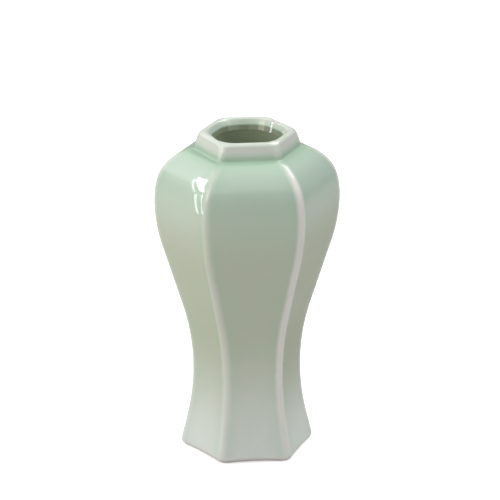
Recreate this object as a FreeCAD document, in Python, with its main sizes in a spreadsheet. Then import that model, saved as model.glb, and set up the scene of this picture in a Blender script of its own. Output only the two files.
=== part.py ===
import FreeCAD, Part
import enum
import math
import os

import Sketcher

# A hexagonal meiping vase in porcelain with a celadon glaze, 200 mm tall and 111 mm across.
# It is slab built. Six wall panels, bent only along their height, are luted along mitred ridges.
# A floor slab is set between them above the ground, and a collar with a funnel mouth is coped to
# the shoulder, with a spigot in the opening. Glaze coats the outside, the inside and the underside.
# Origin at the centre of the standing face, +Z up, two ridges in the XZ plane, panels facing -Y and +Y.

# Every driving length, in millimetres, with what it measures.
# An apothem is the distance from the axis to the middle of a side.
SIZES = {
    # glazed outline of a wall panel
    "waist_apothem": (28.85, "axis to panel at the narrowest point"),
    "waist_height": (50.3, "height of the narrowest point"),
    "flare_height": (17, "top of the straight flare at the foot"),
    "belly_apothem": (48.6, "axis to panel at the widest point"),
    "belly_height": (158.3, "height of the widest point"),
    "brow_bend": (56, "radius of the curve just above the widest point"),
    "shoulder_bend": (26, "radius of the shoulder curve"),
    # slabs and coats
    "wall_thickness": (4, "slab of a wall panel"),
    "glaze_thickness": (0.6, "celadon coat outside"),
    "liner_thickness": (0.4, "glaze coat inside and under the floor"),
    "ridge_facet": (1, "setback of the facet on each glazed ridge, where the glaze lies thin"),
    # collar
    "collar_apothem": (28.2, "axis to the collar's face where it meets the shoulder"),
    "collar_height": (10.23, "shoulder to rim, along the axis"),
    "collar_root": (3, "depth to which the collar's block is sunk before it is coped"),
    "collar_corner": (3.2, "corner between two faces of the glazed collar"),
    "rim_round": (2.4, "rolled outer edge of the rim"),
    "pool_round": (1.6, "hollow of the glaze pooled round the collar"),
    # mouth
    "crest_round": (1.5, "inner edge of the rim"),
    "funnel_depth": (5, "rim down to the top of the straight throat"),
    "throat_round": (3, "edge between funnel and throat"),
    "throat_apothem": (19, "axis to the glazed wall of the throat"),
    "throat_corner": (6, "corner of the throat and funnel"),
    "spigot_corner": (3, "corner of the spigot and of the opening that it fills"),
    "spigot_wall": (4, "wall of the spigot in the shoulder opening"),
    "coat_overlap": (1.5, "length of throat that the outer coat reaches down"),
    # floor and foot
    "floor_rise": (3, "ground to the underside of the floor slab"),
    "floor_thickness": (5, "floor slab"),
    "foot_round": (1.2, "bare standing edge"),
    "bare_foot": (1.5, "ground to the lower edge of the outer glaze"),
    "overrun": (5, "how far a cutting shape passes the shape that it cuts"),
}
# Angles, in degrees.
ANGLES = {
    "foot_lean": (12.4, "lean of the straight flare at the foot"),
    "brow_turn": (12, "turn of the curve just above the widest point"),
    "crown_turn": (82, "where the shoulder's curve ends under the collar, from level"),
    "ceiling_turn": (76, "where the curve inside the shoulder ends, from level"),
    "collar_lean": (14, "inward lean of the collar's faces"),
    "funnel_lean": (43, "outward lean of the funnel's faces"),
}
# Two curves that met with no straight flank between waist and belly would have radii that add up
# to one sum. These are the shares of that sum that the two radii have here.
SHARES = {
    "waist_bend_share": (0.508, "hollow curve above the waist"),
    "belly_bend_share": (0.36, "swelling curve below the widest point"),
}
SIDES = 6
# the panels in order round the axis, anticlockwise from above
PANEL_NAMES = (
    "back_panel", "back_left_panel", "front_left_panel",
    "front_panel", "front_right_panel", "back_right_panel",
)
UP = FreeCAD.Vector(0, 0, 1)
NEAR = 1e-6


class Spot(enum.IntEnum):
    """Which point of a piece of sketch geometry a constraint takes."""

    START = 1
    END = 2
    CENTRE = 3


START, END, CENTRE = Spot
ACROSS = -1
ORIGIN_POINT = (ACROSS, START)


class Size:
    """A size as a number, to draw with, and as the expression that binds it to the sheet."""

    def __init__(self, number, rule):
        self.number = number
        self.rule = rule

    def __add__(self, other):
        return Size(self.number + other.number, "(%s + %s)" % (self.rule, other.rule))

    def __sub__(self, other):
        return Size(self.number - other.number, "(%s - %s)" % (self.rule, other.rule))

    def __mul__(self, ratio):
        return Size(self.number * ratio.number, "(%s * %s)" % (self.rule, ratio.rule))

    def __truediv__(self, ratio):
        return Size(self.number / ratio.number, "(%s / %s)" % (self.rule, ratio.rule))


def sine(angle):
    """The sine of an angle, as a ratio."""
    return Size(math.sin(math.radians(angle.number)), "sin(%s)" % angle.rule)


def cosine(angle):
    """The cosine of an angle, as a ratio."""
    return Size(math.cos(math.radians(angle.number)), "cos(%s)" % angle.rule)


def tangent(angle):
    """The tangent of an angle, as a ratio."""
    return Size(math.tan(math.radians(angle.number)), "tan(%s)" % angle.rule)


def angle_of(ratio):
    """The angle whose cosine is a ratio."""
    return Size(math.degrees(math.acos(ratio.number)), "acos(%s)" % ratio.rule)


def size(name):
    """A driving length, read from the sheet."""
    return Size(SIZES[name][0], "(sizes.%s * 1 mm)" % name)


def angle(name):
    """A driving angle, read from the sheet."""
    return Size(ANGLES[name][0], "(sizes.%s * 1 deg)" % name)


def share(name):
    """A driving share, read from the sheet."""
    return Size(SHARES[name][0], "sizes.%s" % name)


NOTHING = Size(0, "0 mm")
HALF_CORNER = Size(180 / SIDES, "(180 deg / %d)" % SIDES)
CORNER_TURN = Size(360 / SIDES, "(360 deg / %d)" % SIDES)
GLAZE = size("glaze_thickness")
HOLLOW = GLAZE + size("wall_thickness")
LINED = HOLLOW + size("liner_thickness")


def foot_bend():
    """Radius of the hollow curve between the straight flare and the waist."""
    return (size("waist_height") - size("flare_height")) / sine(angle("foot_lean"))


def flank_bends():
    """Radii of the hollow curve above the waist and of the swelling curve below the belly."""
    swell = size("belly_apothem") - size("waist_apothem")
    climb = size("belly_height") - size("waist_height")
    both_bends = (swell * swell + climb * climb) / (swell + swell)
    return both_bends * share("waist_bend_share"), both_bends * share("belly_bend_share")


def shoulder_centre():
    """Distance from the axis and height of the point that the shoulder curves about."""
    step, turn = size("brow_bend") - size("shoulder_bend"), angle("brow_turn")
    out = size("belly_apothem") - size("brow_bend") + step * cosine(turn)
    return out, size("belly_height") + step * sine(turn)


def shoulder_point(inset, turn):
    """Distance from the axis and height of a point on the shoulder's curve, set in."""
    out, up = shoulder_centre()
    radius = size("shoulder_bend") - inset
    return out + radius * cosine(turn), up + radius * sine(turn)


def collar_turn():
    """Where on the shoulder's curve the collar's face meets it, from level."""
    return angle_of((size("collar_apothem") - shoulder_centre()[0]) / size("shoulder_bend"))


COLLAR_FOOT = shoulder_point(NOTHING, collar_turn())[1]
RIM = COLLAR_FOOT + size("collar_height")
OPENING = size("throat_apothem") + size("liner_thickness") + size("spigot_wall")
CEILING = shoulder_point(HOLLOW, angle("ceiling_turn"))[1]
LINED_CEILING = shoulder_point(LINED, angle("ceiling_turn"))[1]
COAT_END = RIM - size("funnel_depth") - size("coat_overlap")
FLOOR_TOP = size("floor_rise") + size("floor_thickness")


def make_sheet(doc):
    """Write the driving lengths, angles and shares to the spreadsheet, one row each."""
    sheet = doc.addObject("Spreadsheet::Sheet", "sizes")
    driving = {**SIZES, **ANGLES, **SHARES}
    for row, (name, (number, meaning)) in enumerate(driving.items(), start=1):
        sheet.set("A%d" % row, name)
        sheet.set("B%d" % row, str(number))
        sheet.set("C%d" % row, meaning)
        sheet.setAlias("B%d" % row, name)
    doc.recompute()


def bind(item, path, bound):
    """Bind one property of a feature to a size."""
    item.setExpression(path, bound.rule)


def new_body(doc, name):
    """A body, and its origin planes by role."""
    body = doc.addObject("PartDesign::Body", name)
    planes = {plane.Role: plane for plane in body.Origin.OriginFeatures}
    return body, planes


def new_sketch(body, plane, name, level=NOTHING):
    """A sketch on one of the body's own origin planes, lifted to a level."""
    sketch = body.newObject("Sketcher::SketchObject", name)
    sketch.AttachmentSupport = (plane, [""])
    sketch.MapMode = "FlatFace"
    bind(sketch, "AttachmentOffset.Base.z", level)
    return sketch


def fix(sketch, kind, *where):
    """Add a constraint that has no size."""
    sketch.addConstraint(Sketcher.Constraint(kind, *where))


def measure(sketch, name, kind, *where, bound):
    """Add a named constraint whose size is bound to the sheet."""
    drawn = math.radians(bound.number) if kind == "Angle" else bound.number
    index = sketch.addConstraint(Sketcher.Constraint(kind, *where, drawn))
    sketch.renameConstraint(index, name)
    bind(sketch, "Constraints." + name, bound)


def arc_piece(centre, radius, first, last):
    """An arc of a circle in the sketch plane, anticlockwise between two angles in degrees."""
    circle = Part.Circle(FreeCAD.Vector(*centre, 0), UP, radius)
    return Part.ArcOfCircle(circle, math.radians(first), math.radians(last))


def line_piece(first, last):
    """A straight line in the sketch plane."""
    return Part.LineSegment(FreeCAD.Vector(*first, 0), FreeCAD.Vector(*last, 0))


def place(point):
    """The two sketch coordinates of a point."""
    return point.x, point.y


def close_waste(sketch, low, high, out):
    """Close the outline of what is planed off with a straight base, side and top.

    Args:
        sketch: a sketch that holds the inner side of the outline.
        low: the lowest point, as a geometry index and which of its points.
        high: the highest point, in the same way.
        out: distance of the straight side from the axis.

    Returns the geometry index of the straight side.
    """
    first, last = sketch.getPoint(*low), sketch.getPoint(*high)
    base, side, top = (sketch.addGeometry(piece, False) for piece in (
        line_piece(place(first), (out.number, first.y)),
        line_piece((out.number, first.y), (out.number, last.y)),
        line_piece((out.number, last.y), place(last))))
    fix(sketch, "Coincident", *low, base, START)
    fix(sketch, "Coincident", base, END, side, START)
    fix(sketch, "Coincident", side, END, top, START)
    fix(sketch, "Coincident", top, END, *high)
    fix(sketch, "Horizontal", base)
    fix(sketch, "Horizontal", top)
    fix(sketch, "Vertical", side)
    measure(sketch, "side_out", "DistanceX", *ORIGIN_POINT, side, START, bound=out)
    return side


def draw_wall(sketch, inset, bottom, top_turn, out):
    """Draw a panel's outline, set in by a thickness and closed by a straight side.

    The side at the axis gives the section of the vase, and a side beyond the panel what is planed
    off outside it.

    From the ground up the outline is a straight flare, two hollow curves that meet at the waist, a
    straight flank, the swelling of the belly, the brow and the shoulder. Each is tangent to the
    next, and all insets share the same centres.
    """
    waist, waist_up, lean = size("waist_apothem"), size("waist_height"), angle("foot_lean")
    belly, belly_up, brow = size("belly_apothem"), size("belly_height"), size("brow_bend")
    waist_bend, belly_bend = flank_bends()
    foot_centre, waist_centre, belly_centre = waist + foot_bend(), waist + waist_bend, belly - belly_bend
    crown_centre_out, crown_centre_up = shoulder_centre()
    foot_radius, waist_radius, belly_radius = foot_bend() + inset, waist_bend + inset, belly_bend - inset
    brow_radius, shoulder_radius = brow - inset, size("shoulder_bend") - inset

    # the flank leans so that it touches the curves of waist and belly
    both_bends = (waist_bend + belly_bend).number
    apart = (waist_centre - belly_centre).number
    climb = (belly_up - waist_up).number
    flank_lean = math.degrees(math.asin(both_bends / math.hypot(climb, apart)) - math.atan2(apart, climb))
    brow_end, crown_end = angle("brow_turn").number, top_turn.number

    foot_arc, waist_arc, belly_arc, brow_arc, crown_arc = (
        sketch.addGeometry(arc_piece((out_to.number, up_to.number), radius.number, first, last), False)
        for out_to, up_to, radius, first, last in (
            (foot_centre, waist_up, foot_radius, 180, 180 + lean.number),
            (waist_centre, waist_up, waist_radius, 180 - flank_lean, 180),
            (belly_centre, belly_up, belly_radius, -flank_lean, 0),
            (belly - brow, belly_up, brow_radius, 0, brow_end),
            (crown_centre_out, crown_centre_up, shoulder_radius, brow_end, crown_end),
        ))
    flank = sketch.addGeometry(line_piece(
        place(sketch.getPoint(waist_arc, START)), place(sketch.getPoint(belly_arc, START))), False)
    flare_top = sketch.getPoint(foot_arc, END)
    flare_run = (flare_top.y - bottom.number) * tangent(lean).number
    flare = sketch.addGeometry(
        line_piece((flare_top.x + flare_run, bottom.number), place(flare_top)), False)

    fix(sketch, "Tangent", flare, END, foot_arc, END)
    fix(sketch, "Tangent", foot_arc, START, waist_arc, END)
    fix(sketch, "Tangent", waist_arc, START, flank, START)
    fix(sketch, "Tangent", flank, END, belly_arc, START)
    fix(sketch, "Tangent", belly_arc, END, brow_arc, START)
    fix(sketch, "Tangent", brow_arc, END, crown_arc, START)
    side = close_waste(sketch, (flare, START), (crown_arc, END), out)
    measure(sketch, "bottom_up", "DistanceY", *ORIGIN_POINT, flare, START, bound=bottom)
    measure(sketch, "flare_lean", "Angle", side, START, flare, START, bound=lean)
    measure(sketch, "foot_out", "DistanceX", *ORIGIN_POINT, foot_arc, CENTRE, bound=foot_centre)
    measure(sketch, "foot_up", "DistanceY", *ORIGIN_POINT, foot_arc, CENTRE, bound=waist_up)
    measure(sketch, "foot_radius", "Radius", foot_arc, bound=foot_radius)
    measure(sketch, "waist_up", "DistanceY", *ORIGIN_POINT, waist_arc, CENTRE, bound=waist_up)
    measure(sketch, "waist_radius", "Radius", waist_arc, bound=waist_radius)
    measure(sketch, "belly_out", "DistanceX", *ORIGIN_POINT, belly_arc, CENTRE, bound=belly_centre)
    measure(sketch, "belly_up", "DistanceY", *ORIGIN_POINT, belly_arc, CENTRE, bound=belly_up)
    measure(sketch, "belly_radius", "Radius", belly_arc, bound=belly_radius)
    measure(sketch, "brow_up", "DistanceY", *ORIGIN_POINT, brow_arc, CENTRE, bound=belly_up)
    measure(sketch, "brow_radius", "Radius", brow_arc, bound=brow_radius)
    measure(sketch, "crown_up", "DistanceY", *ORIGIN_POINT, crown_arc, CENTRE, bound=crown_centre_up)
    measure(sketch, "crown_radius", "Radius", crown_arc, bound=shoulder_radius)
    measure(sketch, "reach_out", "DistanceX", *ORIGIN_POINT, crown_arc, END,
            bound=shoulder_point(inset, top_turn)[0])


def draw_collar_waste(sketch, inset, out):
    """Draw what is planed off outside one face of the collar, set in by a thickness."""
    lean, height, root = angle("collar_lean"), size("collar_height"), size("collar_root")
    middle = size("collar_apothem") - inset / cosine(lean)
    low_out, high_out = middle + root * tangent(lean), middle - (height - inset) * tangent(lean)
    low_up, high_up = COLLAR_FOOT - root, RIM - inset
    face = sketch.addGeometry(
        line_piece((low_out.number, low_up.number), (high_out.number, high_up.number)), False)
    close_waste(sketch, (face, START), (face, END), out)
    measure(sketch, "low_out", "DistanceX", *ORIGIN_POINT, face, START, bound=low_out)
    measure(sketch, "low_up", "DistanceY", *ORIGIN_POINT, face, START, bound=low_up)
    measure(sketch, "high_out", "DistanceX", *ORIGIN_POINT, face, END, bound=high_out)
    measure(sketch, "high_up", "DistanceY", *ORIGIN_POINT, face, END, bound=high_up)


def draw_bore_waste(sketch, inset, bottom, out):
    """Draw what stays outside one side of the bore: straight throat, rounded edge, funnel."""
    edge_round, steep = size("throat_round") - inset, angle("funnel_lean")
    centre_out = size("throat_apothem") + size("throat_round")
    throat_top, top = RIM - size("funnel_depth"), RIM + size("overrun")
    throat_arc = sketch.addGeometry(arc_piece(
        (centre_out.number, throat_top.number), edge_round.number, 180 - steep.number, 180), False)
    low, high = sketch.getPoint(throat_arc, END), sketch.getPoint(throat_arc, START)
    throat = sketch.addGeometry(line_piece((low.x, bottom.number), place(low)), False)
    run = (top.number - high.y) * tangent(steep).number
    funnel = sketch.addGeometry(line_piece(place(high), (high.x + run, top.number)), False)
    fix(sketch, "Tangent", throat, END, throat_arc, END)
    fix(sketch, "Tangent", throat_arc, START, funnel, START)
    side = close_waste(sketch, (throat, START), (funnel, END), out)
    fix(sketch, "Vertical", throat)
    measure(sketch, "bottom_up", "DistanceY", *ORIGIN_POINT, throat, START, bound=bottom)
    measure(sketch, "top_up", "DistanceY", *ORIGIN_POINT, funnel, END, bound=top)
    measure(sketch, "centre_out", "DistanceX", *ORIGIN_POINT, throat_arc, CENTRE, bound=centre_out)
    measure(sketch, "throat_up", "DistanceY", *ORIGIN_POINT, throat_arc, CENTRE, bound=throat_top)
    measure(sketch, "edge_round", "Radius", throat_arc, bound=edge_round)
    measure(sketch, "funnel_lean", "Angle", funnel, START, side, START, bound=steep)


def ridge_edges(shape):
    """The names of the edges that run up the shape in the planes of its ridges."""
    names = []
    for number, edge in enumerate(shape.Edges, start=1):
        ends = [vertex.Point for vertex in (edge.firstVertex(), edge.lastVertex())]
        turns = [math.degrees(math.atan2(end.y, end.x)) * SIDES / 360 for end in ends]
        on_ridge = all(math.isclose(turn, round(turn), abs_tol=NEAR) for turn in turns)
        if on_ridge and round(turns[0]) % SIDES == round(turns[1]) % SIDES:
            names.append("Edge%d" % number)
    return names


def level_edges(shape, level):
    """The names of the edges that lie flat at a level."""
    names = []
    for number, edge in enumerate(shape.Edges, start=1):
        heights = [edge.valueAt(where).z for where in (
            edge.FirstParameter, (edge.FirstParameter + edge.LastParameter) / 2, edge.LastParameter)]
        if all(math.isclose(height, level.number, abs_tol=NEAR) for height in heights):
            names.append("Edge%d" % number)
    return names


def foot_edges(shape):
    """The names of the edges on the ground that lie off the plane through the axis."""
    return ["Edge%d" % number for number, edge in enumerate(shape.Edges, start=1)
            if all(vertex.Z < NEAR < vertex.Y for vertex in edge.Vertexes)]


def hole_edges(shape, level):
    """The names of the edges round the hole in the shape's flat face at a level."""
    rims = []
    for face in shape.Faces:
        box = face.BoundBox
        if math.isclose(box.ZMin, level.number, abs_tol=NEAR) and len(face.Wires) > 1:
            holes = [wire for wire in face.Wires if not wire.isSame(face.OuterWire)]
            rims += [edge for hole in holes for edge in hole.Edges]
    return ["Edge%d" % number for number, edge in enumerate(shape.Edges, start=1)
            if any(edge.isSame(rim) for rim in rims)]


def seam_edges(shape, low, high, reach):
    """The names of the edges whose ends lie between two heights and within reach of the axis."""
    return ["Edge%d" % number for number, edge in enumerate(shape.Edges, start=1)
            if all(low.number < vertex.Z < high.number and math.hypot(vertex.X, vertex.Y) < reach.number
                   for vertex in edge.Vertexes)]


def round_off(doc, body, edges, radius, name):
    """Round the named edges of the body's last feature."""
    base = body.Tip
    fillet = body.newObject("PartDesign::Fillet", name)
    fillet.Base = (base, edges)
    bind(fillet, "Radius", radius)
    doc.recompute()


def take_off(doc, body, edges, setback, name):
    """Take the named edges of the body's last feature off to narrow facets."""
    base = body.Tip
    chamfer = body.newObject("PartDesign::Chamfer", name)
    chamfer.Base = (base, edges)
    bind(chamfer, "Size", setback)
    doc.recompute()


def six_sided(doc, name, low, high, widest, draw, *details):
    """A closed six-sided form with sharp ridges: a round blank, planed on six sides.

    Args:
        doc: the document.
        name: the body's name.
        low, high: the heights of its flat ends.
        widest: apothem of the widest place, which the blank has to hold.
        draw: function that draws the waste outside one side.
        details: what that function takes between the sketch and the waste's far side.
    """
    body, planes = new_body(doc, name)
    blank_radius = widest / cosine(HALF_CORNER)
    past = blank_radius + size("overrun")
    disc = new_sketch(body, planes["XY_Plane"], name + "_disc", low)
    ring = disc.addGeometry(Part.Circle(FreeCAD.Vector(), UP, blank_radius.number), False)
    fix(disc, "Coincident", ring, CENTRE, *ORIGIN_POINT)
    measure(disc, "blank_radius", "Radius", ring, bound=blank_radius)
    waste = new_sketch(body, planes["YZ_Plane"], name + "_waste")
    draw(waste, *details, past)
    blank = body.newObject("PartDesign::Pad", name + "_blank")
    blank.Profile = disc
    bind(blank, "Length", high - low)
    one_side = body.newObject("PartDesign::Pocket", name + "_side")
    one_side.Profile = waste
    one_side.SideType = "Symmetric"
    bind(one_side, "Length", past + past)
    doc.recompute()
    sides = body.newObject("PartDesign::PolarPattern", name + "_sides")
    sides.Originals = [one_side]
    sides.Axis = (waste, ["V_Axis"])
    sides.Angle = 360
    sides.Occurrences = SIDES
    body.Tip = sides
    doc.recompute()
    return body


def wall_form(doc, name, inset, bottom, top_turn):
    """The vase's body up to its crown, set in by a thickness from the glazed surface."""
    top = shoulder_point(inset, top_turn)[1]
    return six_sided(
        doc, name, bottom, top, size("belly_apothem"), draw_wall, inset, bottom, top_turn)


def panel_form(doc, name, inset, top_turn):
    """What lies behind one panel, from the plane through the axis out to its set-in surface."""
    body, planes = new_body(doc, name)
    section = new_sketch(body, planes["YZ_Plane"], name + "_section")
    draw_wall(section, inset, NOTHING, top_turn, NOTHING)
    pad = body.newObject("PartDesign::Pad", name + "_pad")
    pad.Profile = section
    pad.SideType = "Symmetric"
    bind(pad, "Length", size("belly_apothem") + size("belly_apothem"))
    doc.recompute()
    return body


def collar_form(doc, name, inset):
    """The collar's block with its rolled rim, sunk by its root and set in by a thickness."""
    widest = size("collar_apothem") + size("collar_root")
    body = six_sided(
        doc, name, COLLAR_FOOT - size("collar_root"), RIM - inset, widest, draw_collar_waste, inset)
    if inset is NOTHING:
        round_off(doc, body, ridge_edges(body.Tip.Shape), size("collar_corner"), name + "_corners")
    rim_edges = level_edges(body.Tip.Shape, RIM - inset)
    round_off(doc, body, rim_edges, size("rim_round") - inset, name + "_rim")
    return body


def bore_form(doc, name, inset, bottom):
    """The space inside throat and funnel, widened by a thickness of glaze."""
    top = RIM + size("overrun")
    widest = size("throat_apothem") + (top - bottom) * tangent(angle("funnel_lean"))
    body = six_sided(doc, name, bottom, top, widest, draw_bore_waste, inset, bottom)
    round_off(doc, body, ridge_edges(body.Tip.Shape), size("throat_corner"), name + "_corners")
    return body


def prism(doc, name, apothem, low, high, rounding):
    """An upright hexagonal prism with rounded corners."""
    body, planes = new_body(doc, name)
    sketch = new_sketch(body, planes["XY_Plane"], name + "_outline", low)
    out = apothem / cosine(HALF_CORNER)
    points = [(out.number * math.cos(math.radians(CORNER_TURN.number * corner)),
               out.number * math.sin(math.radians(CORNER_TURN.number * corner)))
              for corner in range(SIDES)]
    sides = [sketch.addGeometry(line_piece(points[corner - 1], points[corner]), False)
             for corner in range(SIDES)]
    ring = sketch.addGeometry(Part.Circle(FreeCAD.Vector(), UP, out.number), True)
    fix(sketch, "Coincident", ring, CENTRE, *ORIGIN_POINT)
    measure(sketch, "corner_out", "Radius", ring, bound=out)
    for corner in range(SIDES):
        fix(sketch, "Coincident", sides[corner - 1], END, sides[corner], START)
        fix(sketch, "PointOnObject", sides[corner], END, ring)
        if corner:
            fix(sketch, "Equal", sides[0], sides[corner])
    fix(sketch, "PointOnObject", sides[0], END, ACROSS)
    pad = body.newObject("PartDesign::Pad", name + "_pad")
    pad.Profile = sketch
    bind(pad, "Length", high - low)
    doc.recompute()
    round_off(doc, body, ridge_edges(pad.Shape), rounding, name + "_corners")
    return body


def slab(doc, name, low, high):
    """A round slab, wider than the vase, between two heights."""
    disc = doc.addObject("Part::Cylinder", name)
    bind(disc, "Radius", size("belly_apothem") / cosine(HALF_CORNER) + size("overrun"))
    bind(disc, "Height", high - low)
    bind(disc, "Placement.Base.z", low)
    return disc


def cut(doc, name, base, tool):
    """What is left of a shape when another is taken away."""
    result = doc.addObject("Part::Cut", name)
    result.Base, result.Tool = base, tool
    return result


def shared(doc, name, base, tool):
    """What two shapes have in common."""
    result = doc.addObject("Part::Common", name)
    result.Base, result.Tool = base, tool
    return result


def finished(doc, name, base):
    """A body that carries on from a shape, so that its edges can be rounded."""
    doc.recompute()
    body = doc.addObject("PartDesign::Body", name)
    body.BaseFeature = base
    doc.recompute()
    return body


def joined(doc, name, *shapes):
    """Several shapes as one solid."""
    result = doc.addObject("Part::MultiFuse", name)
    result.Shapes = list(shapes)
    result.Refine = True
    return result


def make_clay(doc):
    """The eight pieces of clay: six wall panels, the floor slab and the collar.

    Returns the pieces by name, and the shapes that the coats of glaze are fitted to.
    """
    hollow = wall_form(doc, "hollow", HOLLOW, NOTHING, angle("ceiling_turn"))
    outside = wall_form(doc, "clay_wall", GLAZE, NOTHING, angle("crown_turn"))
    spigot = prism(
        doc, "spigot", OPENING, CEILING, RIM - size("funnel_depth"), size("spigot_corner"))
    block = collar_form(doc, "clay_collar", GLAZE)
    bore = bore_form(doc, "clay_bore", size("liner_thickness"), CEILING - size("overrun"))

    # a panel is a slab bent along its height, mitred in the planes of two ridges
    panel_outside = panel_form(doc, "panel_outside", GLAZE, angle("crown_turn"))
    foot = foot_edges(panel_outside.Shape)
    round_off(doc, panel_outside, foot, size("foot_round"), "panel_foot")
    panel_inside = panel_form(doc, "panel_inside", HOLLOW, angle("ceiling_turn"))
    bent_slab = cut(doc, "trimmed_slab", cut(doc, "bent_slab", panel_outside, panel_inside), spigot)
    wedge = slab(doc, "mitre_wedge", NOTHING - size("overrun"), RIM)
    bind(wedge, "Angle", CORNER_TURN)
    bind(wedge, "Placement.Rotation.Angle", CORNER_TURN)
    pieces = {}
    for number, name in enumerate(PANEL_NAMES):
        pieces[name] = shared(doc, name, bent_slab, wedge)
        bind(pieces[name], "Placement.Rotation.Angle", Size(number, str(number)) * CORNER_TURN)
    # the floor is trimmed to the inside of the panels
    floor_block = slab(doc, "floor_block", size("floor_rise"), FLOOR_TOP)
    pieces["floor_slab"] = shared(doc, "floor_slab", hollow, floor_block)
    # the collar is coped to the shoulder and bored, and its spigot fills the opening
    coped = cut(doc, "coped_collar", block, outside)
    bored = cut(doc, "bored_collar", joined(doc, "collar_blank", coped, spigot), bore)
    collar = finished(doc, "neck_collar", bored)
    crest = hole_edges(collar.Shape, RIM - GLAZE)
    round_off(doc, collar, crest, size("crest_round") - GLAZE, "neck_collar_crest")
    pieces["neck_collar"] = collar
    return pieces, hollow, outside, block, bore


def make_coats(doc, hollow, outside, block, clay_bore):
    """The three coats of glaze: outside and over the rim, inside, and under the floor."""
    liner = size("liner_thickness")
    glazed_wall = wall_form(doc, "glazed_wall", NOTHING, size("bare_foot"), angle("crown_turn"))
    ridges = ridge_edges(glazed_wall.Tip.Shape)
    take_off(doc, glazed_wall, ridges, size("ridge_facet"), "glazed_wall_ridges")
    glazed_collar = collar_form(doc, "glazed_collar", NOTHING)
    glazed_bore = bore_form(doc, "glazed_bore", NOTHING, LINED_CEILING - size("overrun"))
    lined_hollow = wall_form(doc, "lined_hollow", LINED, FLOOR_TOP + liner, angle("ceiling_turn"))

    # the outer coat is the glazed vase less the clay, whose bore is open down to the coat's end
    glazed_blank = joined(doc, "glazed_blank", glazed_wall, glazed_collar)
    glazed = finished(doc, "glazed_surface", cut(doc, "glazed_vase", glazed_blank, glazed_bore))
    crest = hole_edges(glazed.Shape, RIM)
    round_off(doc, glazed, crest, size("crest_round"), "glazed_crest")
    collar_reach = (size("collar_apothem") + size("collar_root")) / cosine(HALF_CORNER)
    seam = seam_edges(
        glazed.Shape, COLLAR_FOOT - size("collar_root"), COLLAR_FOOT + size("pool_round"), collar_reach)
    round_off(doc, glazed, seam, size("pool_round"), "glazed_pool")
    upper_bore = cut(doc, "upper_bore", clay_bore, slab(doc, "below_coat_end", NOTHING, COAT_END))
    clay = cut(doc, "whole_clay", joined(doc, "clay_blank", outside, block), upper_bore)
    outer_glaze = cut(doc, "outer_glaze", glazed, clay)

    # the liner is the inside of the clay less the lined hollow
    above_coat_end = slab(doc, "above_coat_end", COAT_END, RIM + size("funnel_depth") + size("overrun"))
    lower_bore = cut(doc, "lower_bore", clay_bore, above_coat_end)
    up_to_floor = slab(doc, "up_to_floor", NOTHING - size("overrun"), FLOOR_TOP)
    above_floor = cut(doc, "above_floor", hollow, up_to_floor)
    inside = joined(doc, "clay_inside", above_floor, lower_bore)
    inner_glaze = cut(doc, "inner_glaze", inside, joined(doc, "lined_inside", lined_hollow, glazed_bore))

    underside = slab(doc, "underside", size("floor_rise") - liner, size("floor_rise"))
    base_glaze = shared(doc, "base_glaze", hollow, underside)
    return {"outer_glaze": outer_glaze, "inner_glaze": inner_glaze, "base_glaze": base_glaze}


def check(doc, pieces):
    """Stop if any feature failed or any piece is not one sound solid."""
    failed = [item.Name for item in doc.Objects if {"Invalid", "Error"} & set(item.State)]
    loose = [item.Name for item in doc.Objects
             if item.TypeId == "Sketcher::SketchObject" and not item.FullyConstrained]
    unsound = [name for name, piece in pieces.items()
               if piece.Shape.isNull() or not piece.Shape.isValid() or len(piece.Shape.Solids) != 1]
    if failed or loose or unsound:
        raise RuntimeError("failed %s, loose %s, unsound %s" % (failed, loose, unsound))


def main():
    """Build the vase and write each piece to its own STEP file."""
    doc = FreeCAD.newDocument("vase")
    make_sheet(doc)
    pieces, *fitted = make_clay(doc)
    pieces.update(make_coats(doc, *fitted))
    for name, piece in pieces.items():
        piece.Label = name
    doc.recompute()
    check(doc, pieces)
    os.makedirs("parts", exist_ok=True)
    for name, piece in pieces.items():
        piece.Shape.exportStep("parts/%s.step" % name)
        print("%-18s %10.1f mm3" % (name, piece.Shape.Volume))


main()
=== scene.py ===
"""Looks of the hexagonal meiping vase: celadon glaze over slab-built porcelain.

Every piece of clay and every coat of glaze is one six-sided form by the same rule: an outline in
the half plane beside the axis, carried round a hexagon with rounded corners. The outlines repeat
the real sizes of the solids, and the form adds what hands leave: a slight turn of the foot, a ridge
set a little off, and a surface that isn't quite true.
"""

from __future__ import annotations

import logging
import math
from dataclasses import dataclass, field
from enum import Enum
from typing import Any

import bpy
from mathutils import Matrix, Quaternion, Vector


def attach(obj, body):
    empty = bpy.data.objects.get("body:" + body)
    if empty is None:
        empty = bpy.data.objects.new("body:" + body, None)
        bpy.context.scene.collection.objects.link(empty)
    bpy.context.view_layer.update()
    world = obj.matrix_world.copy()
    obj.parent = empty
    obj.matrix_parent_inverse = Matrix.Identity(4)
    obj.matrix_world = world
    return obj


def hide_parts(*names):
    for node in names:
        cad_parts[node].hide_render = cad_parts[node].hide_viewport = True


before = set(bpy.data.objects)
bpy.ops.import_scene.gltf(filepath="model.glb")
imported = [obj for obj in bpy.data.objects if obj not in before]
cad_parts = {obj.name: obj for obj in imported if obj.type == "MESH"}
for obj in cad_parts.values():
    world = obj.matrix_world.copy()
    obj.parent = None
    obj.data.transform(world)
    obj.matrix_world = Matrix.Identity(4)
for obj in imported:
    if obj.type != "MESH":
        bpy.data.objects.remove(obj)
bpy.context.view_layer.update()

LOG = logging.getLogger("vase")
MM = 0.001
SIDES = 6
HALF_SIDE = math.radians(180 / SIDES)
EVEN = 0.5  # how thick the glaze lies where it neither thins nor pools
Node = bpy.types.Node
NodeSocket = bpy.types.NodeSocket
NodeTree = bpy.types.NodeTree
Material = bpy.types.Material
Piece = bpy.types.Object
Point = tuple[float, float]
Stops = tuple[tuple[float, float], ...]


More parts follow.
